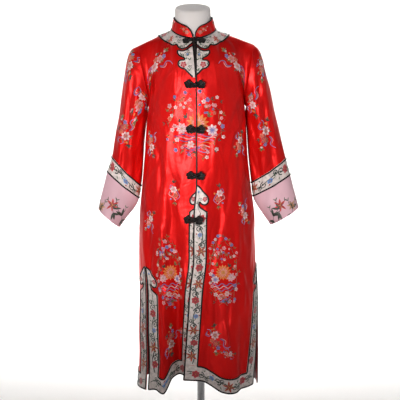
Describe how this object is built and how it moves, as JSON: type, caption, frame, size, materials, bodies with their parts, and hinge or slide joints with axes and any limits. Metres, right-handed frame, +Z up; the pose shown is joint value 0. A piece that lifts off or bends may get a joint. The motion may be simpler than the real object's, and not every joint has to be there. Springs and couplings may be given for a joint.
{
  "type": "front-opening cheongsam robe worn on a limbless dress form with a pole stand",
  "caption": "Long red satin robe with stand collar, front opening closed by knotted frogs, three-quarter sleeves with pale cuffs, side slits and ribbon borders, on a dress form and round stand",
  "frame": {"origin": "On the floor, at the middle of the stand's round base and on the pole's axis", "axes": "+Z is up along the pole, the robe's front opening faces -Y, and +X is to the right for someone looking at the front"},
  "size_m": [0.6728, 0.34, 1.557],
  "materials": {
    "red_satin": "bright red woven satin with a strong soft sheen",
    "pale_ribbon": "ivory woven ribbon, slightly pink, satin weave",
    "pink_satin": "pale pink satin with a soft sheen",
    "black_binding": "black bias binding with a slight sheen",
    "black_cord": "black satin cord tied in knots",
    "form_cloth": "off-white knit stretched over the form",
    "steel": "grey satin steel"
  },
  "bodies": {
    "root": {"front_left": "red_satin", "front_right": "red_satin", "back": "red_satin", "sleeve_left": "red_satin", "sleeve_band_left": "pale_ribbon", "cuff_left": "pink_satin", "sleeve_right": "red_satin", "sleeve_band_right": "pale_ribbon", "cuff_right": "pink_satin", "sleeve_binding_upper_left": "black_binding", "sleeve_binding_lower_left": "black_binding", "sleeve_binding_upper_right": "black_binding", "sleeve_binding_lower_right": "black_binding", "front_band_left": "pale_ribbon", "front_band_right": "pale_ribbon", "side_band_front_left": "pale_ribbon", "side_band_front_right": "pale_ribbon", "side_band_back_left": "pale_ribbon", "side_band_back_right": "pale_ribbon", "hem_band_front_left": "pale_ribbon", "edge_binding_front_left": "black_binding", "inner_binding_front_left": "black_binding", "head_binding_front_left": "black_binding", "hem_band_front_right": "pale_ribbon", "edge_binding_front_right": "black_binding", "inner_binding_front_right": "black_binding", "hem_band_back": "pale_ribbon", "edge_binding_back": "black_binding", "inner_binding_back": "black_binding", "neck_binding_left": "black_binding", "yoke_left": "pale_ribbon", "yoke_binding_left": "black_binding", "tab_left": "pale_ribbon", "tab_binding_left": "black_binding", "yoke_right": "pale_ribbon", "yoke_binding_right": "black_binding", "tab_right": "pale_ribbon", "tab_binding_right": "black_binding", "yoke_back": "pale_ribbon", "yoke_binding_back": "black_binding", "collar": "red_satin", "collar_binding": "black_binding", "form_torso": "form_cloth", "stand_base": "steel", "stand_pole": "steel", "frog_neck_ball": "black_cord", "frog_neck_loop": "black_cord", "frog_chest_ball": "black_cord", "frog_chest_loop": "black_cord", "frog_waist_ball": "black_cord", "frog_waist_loop": "black_cord", "frog_hip_ball": "black_cord", "frog_hip_loop": "black_cord", "frog_low_ball": "black_cord", "frog_low_loop": "black_cord"}
  },
  "joints": []
}
